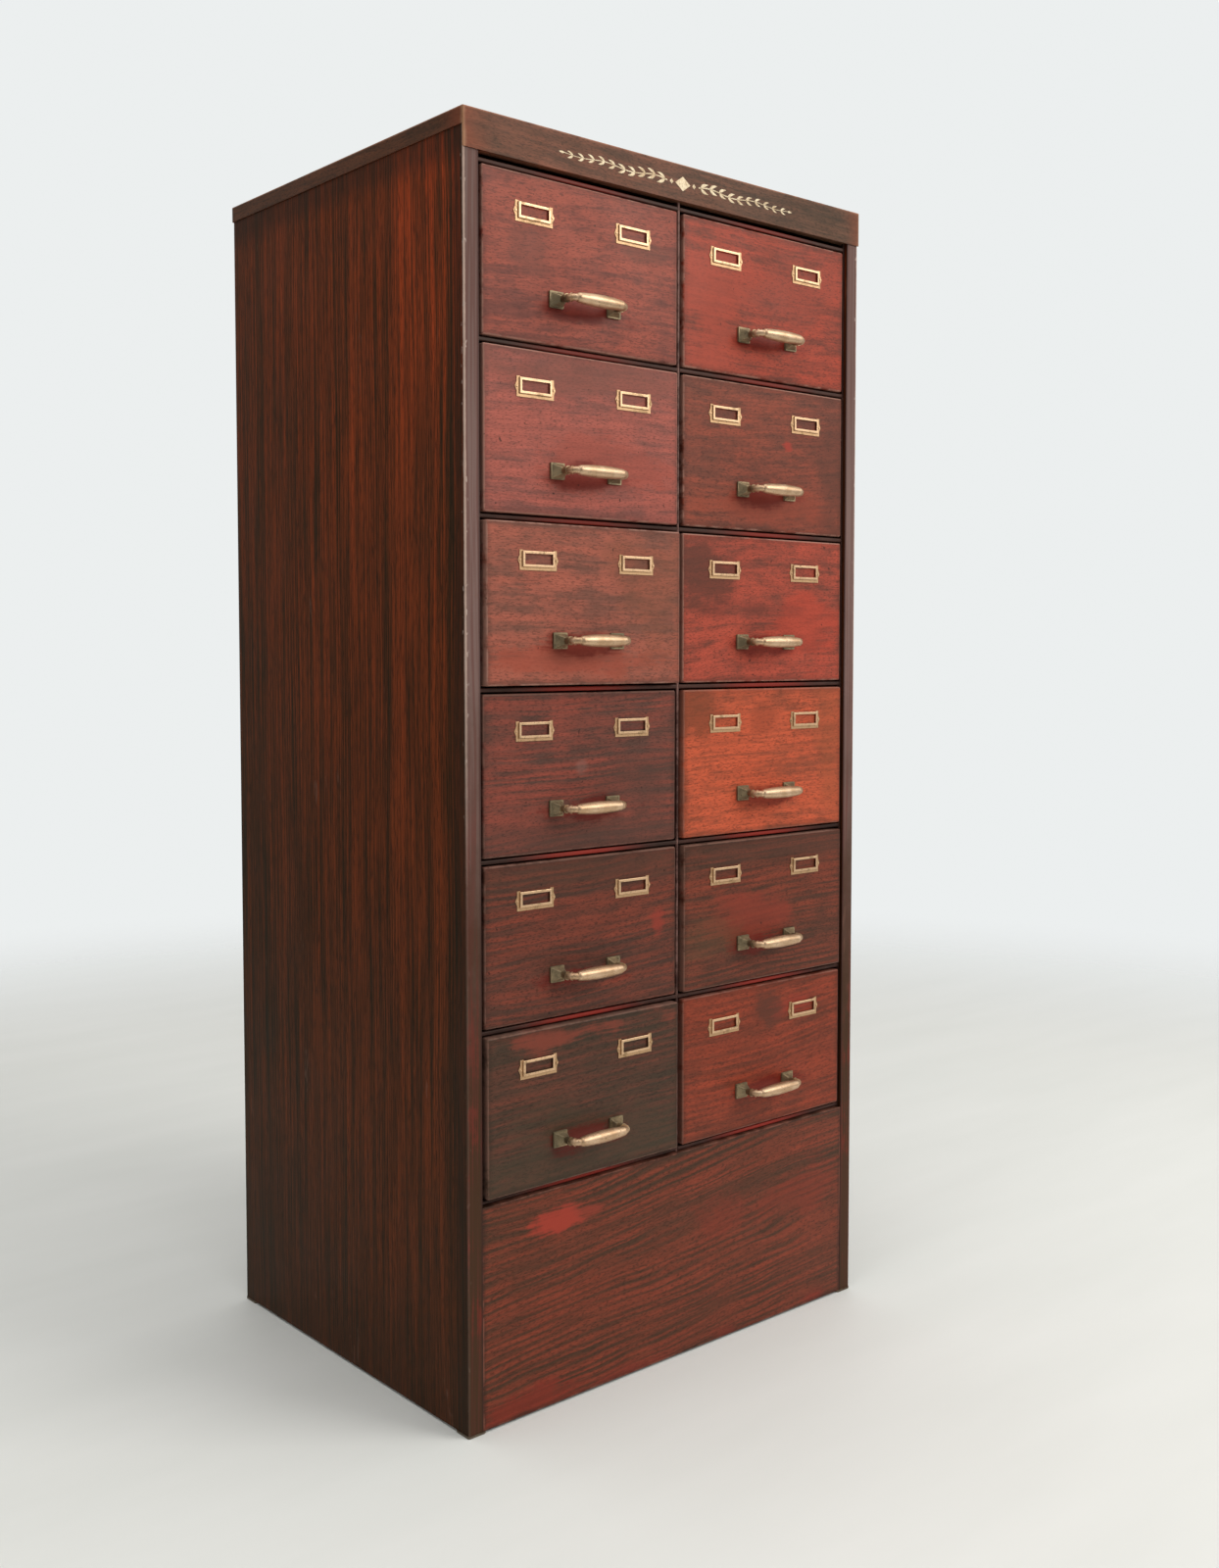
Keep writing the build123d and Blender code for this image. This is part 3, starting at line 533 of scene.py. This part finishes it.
def rail_material():
    """Rails: grey-brown at their ends, rubbed to bright red along the middle of their noses."""
    s = Shading("rail_steel")
    cloud = s.streaky((16, 16, 40), 3.0, detail=4.0, rough=0.65)
    marks = s.streaky((60, 60, 240), 5.0, detail=3.0, rough=0.7)
    from_middle = s.size(s.less(s.size(s.x), COLUMN_X))
    spread = s.step(s.total(from_middle, s.product(cloud, 0.08)), 0.15, 0.05)
    lower_rows = s.step(s.z, 1.35, 0.5)
    nose = s.step(s.less(s.y, RAILS[0].y), 0.0026, 0.0010)
    red = s.product(spread, nose, s.total(0.42, s.product(lower_rows, 0.42)))
    colour = s.between(s.step(cloud, 0.35, 0.65), (50, 32, 28), (76, 48, 42))
    colour = s.paint(colour, (160, 48, 38), red)
    colour = s.paint(colour, (176, 116, 100), nose, s.step(marks, 0.66, 0.74), 0.5)
    s.bump((cloud, 0.001, 0.2), (marks, 0.0002, 0.2))
    roughness = s.total(0.36, s.product(cloud, 0.25))
    dress("cross_rails", s.finish(colour, roughness, specular=0.2, gloss=WARM_GLOSS))


def back_material():
    """Back sheet: plain brown, with faint runs down it."""
    s = Shading("back_steel")
    cloud = s.streaky((5, 5, 3), 17.0, detail=5.0, rough=0.6)
    runs = s.streaky((70, 70, 1.6), 18.0, detail=3.0, rough=0.6)
    marks = s.even(40, 19.0, detail=5.0, rough=0.8)
    shade = s.step(s.total(cloud, s.product(runs, 0.4)), 0.5, 0.95)
    colour = s.between(shade, (50, 32, 26), (86, 52, 42))
    colour = s.paint(colour, (120, 92, 78), s.step(marks, 0.62, 0.72), 0.5)
    dents = s.even(4, 20.0, detail=1.0)
    s.bump((dents, 0.006, 0.35), (marks, 0.0003, 0.2))
    dress("back_panel", s.finish(colour, s.total(0.38, s.product(cloud, 0.25)), specular=0.4))


# ---------------------------------------------------------------- brass
def pull_material(name, seed):
    """Cast brass: bright where it is held, olive and dark on its feet and necks."""
    node = f"drawer_{name}_pull"
    low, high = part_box(node)
    face_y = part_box(f"drawer_{name}_front")[0].y
    s = Shading("pull_brass_" + name)
    out = s.less(face_y, s.y)
    cloud = s.even(55, seed, detail=4.0, rough=0.65)
    lines = s.streaky((35, 700, 700), seed + 1, detail=3.0, rough=0.6)
    pits = s.even(420, seed + 2)
    sideways = s.size(s.less(s.x, (low.x + high.x) / 2))
    held = s.product(s.step(s.total(out, s.product(cloud, 0.010)), 0.019, 0.029),
                     s.step(s.total(sideways, s.product(cloud, 0.006)), 0.052, 0.045))
    aged = s.between(s.step(cloud, 0.36, 0.66), (126, 112, 88), (168, 148, 116))
    bright = s.step(s.total(cloud, s.product(lines, 0.6)), 0.6, 1.0)
    colour = s.mix(held, aged, s.between(bright, (188, 154, 120), (214, 184, 152)))
    feet = s.step(s.total(out, s.product(cloud, 0.004)), 0.0065, 0.0030)
    colour = s.paint(colour, (140, 130, 106), feet, 0.5)
    colour = s.paint(colour, (56, 46, 30), s.step(pits, 0.62, 0.72), 0.5)
    roughness = s.total(0.48, s.product(held, -0.06), s.product(lines, 0.12), s.product(feet, 0.1))
    s.bump((cloud, 0.0006, 0.25), (lines, 0.0001, 0.25), (pits, 0.0002, 0.25))
    dress(node, s.finish(colour, roughness, metallic=1.0))


def card_material(name, seed):
    """Pressed brass, yellower than the pulls, a little darker on its flat ears."""
    face_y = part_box(f"drawer_{name}_front")[0].y
    s = Shading("card_brass_" + name)
    out = s.less(face_y, s.y)
    cloud = s.even(90, seed, detail=4.0, rough=0.65)
    pits = s.even(600, seed + 2)
    proud = s.step(s.total(out, s.product(cloud, 0.0012)), 0.0012, 0.0030)
    colour = s.between(proud, (196, 160, 122), (222, 186, 148))
    colour = s.paint(colour, (108, 84, 48), s.step(cloud, 0.52, 0.70), 0.5)
    colour = s.paint(colour, (70, 54, 32), s.step(pits, 0.60, 0.70), 0.4)
    roughness = s.total(0.42, s.product(cloud, 0.22), s.product(proud, -0.06))
    s.bump((cloud, 0.0003, 0.25), (pits, 0.0001, 0.3))
    dress(f"drawer_{name}_card_frames", s.finish(colour, roughness, metallic=1.0))


def gilt_material():
    """Thin old gilding, with the lacquer showing through its cracks."""
    s = Shading("gilt_transfer")
    cloud = s.even(120, 5.0, detail=4.0, rough=0.7)
    cracks = s.even(500, 6.0, detail=3.0, rough=0.7)
    colour = s.between(s.step(cloud, 0.35, 0.65), (168, 142, 106), (216, 200, 168))
    colour = s.paint(colour, (96, 60, 44), s.step(cracks, 0.58, 0.68), 0.8)
    s.bump((cracks, 0.0001, 0.3))
    return s.finish(colour, s.total(0.38, s.product(cloud, 0.2)), metallic=0.35)


# ---------------------------------------------------------------- mesh building
def placed(name, mesh, material):
    """Turns a bmesh into an object of the scene."""
    data = bpy.data.meshes.new(name)
    mesh.to_mesh(data)
    mesh.free()
    made = bpy.data.objects.new(name, data)
    bpy.context.scene.collection.objects.link(made)
    data.materials.append(material)
    return made


def piece(name, mesh, material, smooth=True, body="cabinet"):
    """A piece of the object, riding on a body of the frame."""
    bmesh.ops.recalc_face_normals(mesh, faces=mesh.faces)
    made = placed(name, mesh, material)
    for polygon in made.data.polygons:
        polygon.use_smooth = smooth
    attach(made, body)
    return made


def bridge(mesh, first, second):
    """Faces between two rings of equally many points."""
    for k, start in enumerate(first):
        after = (k + 1) % len(first)
        mesh.faces.new((start, first[after], second[after], second[k]))


def fan(mesh, ring, tip):
    """Faces from a ring to one point."""
    for k, start in enumerate(ring):
        mesh.faces.new((start, ring[(k + 1) % len(ring)], tip))


# ---------------------------------------------------------------- gilt sprig on the fascia
GILT_DEPTH = 0.00025  # how far the gilding stands proud
GILT_DROP = 0.0225  # from the top of the cap to the middle of the gilding
STEM_START, STEM_LENGTH = 0.026, 0.158  # each way from the middle
STEM_WAVES, WAVE_HEIGHT = 2.0, 0.0022
STEM_WIDTH, STEM_TAPER = 0.0017, 0.0009
STEM_STEPS = 120
LEAF_PAIRS, LEAF_LENGTH, LEAF_WIDTH, LEAF_TILT = 10, 0.0150, 0.0040, 0.72
LEAF_STEPS, LEAF_END_WIDTH = 10, 0.00025
LEAF_SHRINK, LEAF_STRAIGHTEN = 0.40, 0.45  # towards the stem's end, and towards a leaf's own tip
END_LEAF = (0.0085, 0.0026)  # length and width of the leaf at a stem's end
MIDDLE_LOZENGE = (0.0125, 0.0085)  # half its width and half its height
SMALL_LOZENGE, SMALL_LOZENGE_X = (0.0030, 0.0030), 0.0185
CREST_SHARE = 0.7  # width of a ribbon's crest, as a share of its foot


def ribbon(mesh, points, widths):
    """Thin closed strip along points (x, z), of changing width, standing proud of the fascia."""
    rings = []
    for place, (x, z) in enumerate(points):
        before, after = points[max(place - 1, 0)], points[min(place + 1, len(points) - 1)]
        run = Vector((after[0] - before[0], after[1] - before[1])).normalized()
        side = Vector((-run.y, run.x)) * widths[place] / 2
        crest = side * CREST_SHARE
        proud_y = FASCIA_Y - GILT_DEPTH
        corners = [(x + side.x, FASCIA_Y, z + side.y), (x - side.x, FASCIA_Y, z - side.y),
                   (x - crest.x, proud_y, z - crest.y), (x + crest.x, proud_y, z + crest.y)]
        rings.append([mesh.verts.new(corner) for corner in corners])
    for first, second in zip(rings, rings[1:]):
        bridge(mesh, first, second)
    mesh.faces.new(rings[0][::-1])
    mesh.faces.new(rings[-1])


def lozenge(mesh, x, z, half_width, half_height):
    """Low four-sided pyramid."""
    corners = ((-half_width, 0), (0, -half_height), (half_width, 0), (0, half_height))
    base = [mesh.verts.new((x + dx, FASCIA_Y, z + dz)) for dx, dz in corners]
    fan(mesh, base, mesh.verts.new((x, FASCIA_Y - GILT_DEPTH, z)))
    mesh.faces.new(base[::-1])


def leaf(mesh, x, z, length, width, flip, tilt):
    """Almond-shaped leaf growing from (x, z), bending back towards the stem."""
    points, widths = [], []
    for k in range(LEAF_STEPS + 1):
        t = k / LEAF_STEPS
        bend = tilt * (1.0 - LEAF_STRAIGHTEN * t)
        points.append((x + flip * length * t * math.cos(bend), z + length * t * math.sin(bend)))
        widths.append(LEAF_END_WIDTH + width * math.sin(math.pi * t ** 0.8) ** 1.2)
    ribbon(mesh, points, widths)


def gilding(material):
    """A generic gilt flourish: a leafy sprig each way from a lozenge, with no lettering."""
    mesh = bmesh.new()
    middle_z = CAP[1].z - GILT_DROP
    lozenge(mesh, 0.0, middle_z, *MIDDLE_LOZENGE)
    for flip in (-1, 1):
        lozenge(mesh, flip * SMALL_LOZENGE_X, middle_z, *SMALL_LOZENGE)

        def stem(t):
            wave = WAVE_HEIGHT * (1.0 - 0.5 * t) * math.sin(t * STEM_WAVES * 2 * math.pi)
            return (flip * (STEM_START + STEM_LENGTH * t), middle_z + wave)

        shares = [k / STEM_STEPS for k in range(STEM_STEPS + 1)]
        ribbon(mesh, [stem(t) for t in shares], [STEM_WIDTH - STEM_TAPER * t for t in shares])
        for k in range(LEAF_PAIRS):
            t = (k + 0.2) / LEAF_PAIRS
            size = 1.0 - LEAF_SHRINK * t
            for side in (-1, 1):
                leaf(mesh, *stem(t), LEAF_LENGTH * size, LEAF_WIDTH * size, flip, side * LEAF_TILT)
        leaf(mesh, *stem(1.0), *END_LEAF, flip, 0.0)
    piece("fascia_gilding", mesh, material, smooth=False)


# ---------------------------------------------------------------- screws at the back
HEAD_HEIGHT = 0.0022  # of a screw's dome, whose foot is sunk a little into the sheet
HEAD_TURNS, HEAD_LEVELS = 24, 6  # points round it, rings up it
SLOT_HALF_WIDTH, SLOT_DEPTH = 0.0006, 0.0007
SCREW_REACH = 0.02  # points nearer than this belong to one screw


def screw_head(mesh, x, y, z, radius, angle):
    """Domed head with a slot across it, facing +Y."""
    loops = []
    for level in range(HEAD_LEVELS):
        tilt = level / HEAD_LEVELS * math.pi / 2
        ring_radius, lift = radius * math.cos(tilt), HEAD_HEIGHT * math.sin(tilt)
        loop = []
        for k in range(HEAD_TURNS):
            turn = 2 * math.pi * k / HEAD_TURNS
            px, pz = ring_radius * math.cos(turn), ring_radius * math.sin(turn)
            in_slot = abs(px * math.sin(angle) - pz * math.cos(angle)) < SLOT_HALF_WIDTH
            rise = max(lift - (SLOT_DEPTH if in_slot else 0.0), 0.0)
            loop.append(mesh.verts.new((x + px, y + rise, z + pz)))
        loops.append(loop)
    top = mesh.verts.new((x, y + HEAD_HEIGHT - SLOT_DEPTH, z))
    for first, second in zip(loops, loops[1:]):
        bridge(mesh, first, second)
    fan(mesh, loops[-1], top)
    mesh.faces.new(loops[0][::-1])


def screw_heads(material):
    """Slotted heads in place of the plain ones on the rear flanges."""
    node = NODES["back_screws"]
    screws = []
    for vertex in node.data.vertices:
        spot = node.matrix_world @ vertex.co
        for spots in screws:
            if abs(spots[0].x - spot.x) < SCREW_REACH and abs(spots[0].z - spot.z) < SCREW_REACH:
                spots.append(spot)
                break
        else:
            screws.append([spot])
    mesh = bmesh.new()
    for spots in screws:
        low, high = (Vector([limit(spot[k] for spot in spots) for k in range(3)]) for limit in (min, max))
        middle = (low + high) / 2
        angle = middle.x * 7.0 + middle.z * 11.0  # each slot stands its own way
        screw_head(mesh, middle.x, high.y - HEAD_HEIGHT, middle.z, (high.x - low.x) / 2, angle)
    made = piece("slotted_screws", mesh, material)
    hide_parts("back_screws")


# ---------------------------------------------------------------- studio
FLOOR_RADIUS, FLOOR_CLEAR = 3.4, 0.45  # the floor starts to fade at this share of its radius
LIGHT_AIM = Vector((0.0, 0.0, 0.8))
LIGHTS = (  # name, place, size, watts, colour
    ("key", (1.9, -3.0, 2.7), (2.2, 1.8), 74.0, (1.0, 0.98, 0.95)),
    ("overhead", (-0.3, -0.5, 3.6), (2.6, 2.6), 40.0, (0.98, 0.99, 1.0)),
    ("left", (-3.4, -1.0, 2.4), (0.8, 1.6), 9.0, (1.0, 0.97, 0.93)),
)
BRIGHT_SIDE = (0.62, 0.30, 0.72)  # direction from which the surroundings light the object most
DIM, BRIGHT = (0.10, 0.11, 0.12, 1.0), (1.0, 1.0, 0.98, 1.0)  # their light away from it and towards it
CAMERA_PLACE = (-1.3339, -1.6013, 0.8692)
CAMERA_ANGLES = (40.04, -3.08, -0.08)  # yaw to the right of +Y, pitch, roll, in degrees
CAMERA_LENS, CAMERA_SENSOR = 36.11, 36.0  # millimetres
CAMERA_SHIFT = (0.0287, -0.0290)


def make_floor():
    """Pale round floor that fades into the surroundings."""
    mesh = bmesh.new()
    bmesh.ops.create_circle(mesh, cap_ends=True, cap_tris=True, segments=96, radius=FLOOR_RADIUS)
    s = Shading("floor")
    from_middle = s.distance(s.x, s.y)
    s.put(s.shader.inputs["Alpha"], s.step(from_middle, FLOOR_RADIUS, FLOOR_RADIUS * FLOOR_CLEAR))
    soft = s.streaky((2, 9, 1), 0.0, detail=3.0)
    s.finish(s.between(soft, (228, 229, 224), (238, 238, 234)), 0.55, specular=0.3)
    floor = placed("floor", mesh, s.material)


def make_surroundings():
    """Even for the camera; for the object, brighter behind and to the right than in front."""
    world = bpy.data.worlds.new("surroundings")
    world.use_nodes = True
    nodes, link = world.node_tree.nodes, world.node_tree.links.new
    seen = nodes["Background"]
    seen.inputs["Color"].default_value = srgb(238, 241, 241)
    seen.inputs["Strength"].default_value = 0.98
    lit = nodes.new("ShaderNodeBackground")
    lit.inputs["Strength"].default_value = 0.62
    direction = nodes.new("ShaderNodeTexCoord").outputs["Generated"]
    toward = nodes.new("ShaderNodeVectorMath")
    toward.operation = "DOT_PRODUCT"
    toward.inputs[1].default_value = BRIGHT_SIDE
    link(direction, toward.inputs[0])
    ramp = nodes.new("ShaderNodeValToRGB")
    for stop, position, colour in zip(ramp.color_ramp.elements, (0.0, 0.75), (DIM, BRIGHT)):
        stop.position, stop.color = position, colour
    shifted = nodes.new("ShaderNodeMath")  # from -1 to 1 into 0 to 1
    shifted.operation = "MULTIPLY_ADD"
    shifted.inputs[1].default_value, shifted.inputs[2].default_value = 0.5, 0.5
    link(toward.outputs["Value"], shifted.inputs[0])
    link(shifted.outputs[0], ramp.inputs["Fac"])
    link(ramp.outputs["Color"], lit.inputs["Color"])
    chosen = nodes.new("ShaderNodeMixShader")
    link(nodes.new("ShaderNodeLightPath").outputs["Is Camera Ray"], chosen.inputs[0])
    link(lit.outputs[0], chosen.inputs[1])
    link(seen.outputs[0], chosen.inputs[2])
    link(chosen.outputs[0], nodes["World Output"].inputs["Surface"])
    bpy.context.scene.world = world
    bpy.context.scene.view_settings.view_transform = "Standard"


def make_lights():
    """Three soft lights, all aimed at the middle of the cabinet."""
    for name, place, size, power, colour in LIGHTS:
        light = bpy.data.lights.new(name, "AREA")
        light.shape, light.size, light.size_y = "RECTANGLE", *size
        light.energy, light.color = power, colour
        made = bpy.data.objects.new(name, light)
        made.location = place
        made.rotation_mode = "QUATERNION"
        made.rotation_quaternion = (LIGHT_AIM - Vector(place)).to_track_quat("-Z", "Y")
        bpy.context.scene.collection.objects.link(made)


def make_camera():
    """The camera, from its yaw, pitch and roll."""
    data = bpy.data.cameras.new("camera")
    data.lens, data.sensor_width, data.sensor_fit = CAMERA_LENS, CAMERA_SENSOR, "AUTO"
    data.shift_x, data.shift_y = CAMERA_SHIFT
    yaw, pitch, roll = (math.radians(angle) for angle in CAMERA_ANGLES)
    ahead = Vector((math.sin(yaw) * math.cos(pitch), math.cos(yaw) * math.cos(pitch), math.sin(pitch)))
    level = ahead.cross(Vector((0, 0, 1))).normalized()
    upright = level.cross(ahead)
    right = math.cos(roll) * level + math.sin(roll) * upright
    up = -math.sin(roll) * level + math.cos(roll) * upright
    turn = Matrix((right, up, -ahead)).transposed()
    made = bpy.data.objects.new("camera", data)
    made.matrix_world = Matrix.Translation(CAMERA_PLACE) @ turn.to_4x4()
    bpy.context.scene.collection.objects.link(made)
    bpy.context.scene.camera = made


# ---------------------------------------------------------------- everything together
# The last plain number of each call is its seed, which sets its noises apart from the others'.
for place, key in enumerate(sorted(FRONTS)):
    front_material(key, 1.7 + 5.3 * place)
    pull_material(key, 2.9 + 3.1 * place)
    card_material(key, 8.3 + 2.7 * place)
plinth_material()
side_material("side_panel_left", LEFT, LEFT[0].x, 61.0)
side_material("side_panel_right", RIGHT, RIGHT[1].x, 67.0)
cap_material()
rail_material()
back_material()
dress("centre_mullion", plain_lacquer("mullion_steel", (70, 44, 40), (122, 90, 82), 7.0,
                                      nose_y=MULLION[0].y, scratch=0.3))
dress("uprights", plain_lacquer("frame_steel", (66, 42, 36), (118, 92, 80), 12.0))
dress("base_pan", plain_lacquer("inner_steel", (58, 42, 36), (112, 98, 88), 14.0))
tray_material = plain_lacquer("tray_steel", (92, 80, 68), (150, 138, 122), 21.0, scratch=0.6)
for drawer in DRAWERS:
    dress(drawer + "_tray", tray_material)
dress("drawer_runners", steel("runner_steel", (150, 144, 136), (92, 58, 40), 25.0, streak=(300, 6, 300)))
dress("corner_glides", steel("glide_steel", (116, 104, 88), (88, 58, 42), 27.0, streak=(60, 60, 60)))
screw_steel = steel("screw_steel", (160, 152, 140), (96, 66, 46), 29.0, streak=(200, 200, 200))
dress("back_screws", screw_steel)
screw_heads(screw_steel)
gilding(gilt_material())
make_floor()
make_surroundings()
make_lights()
make_camera()
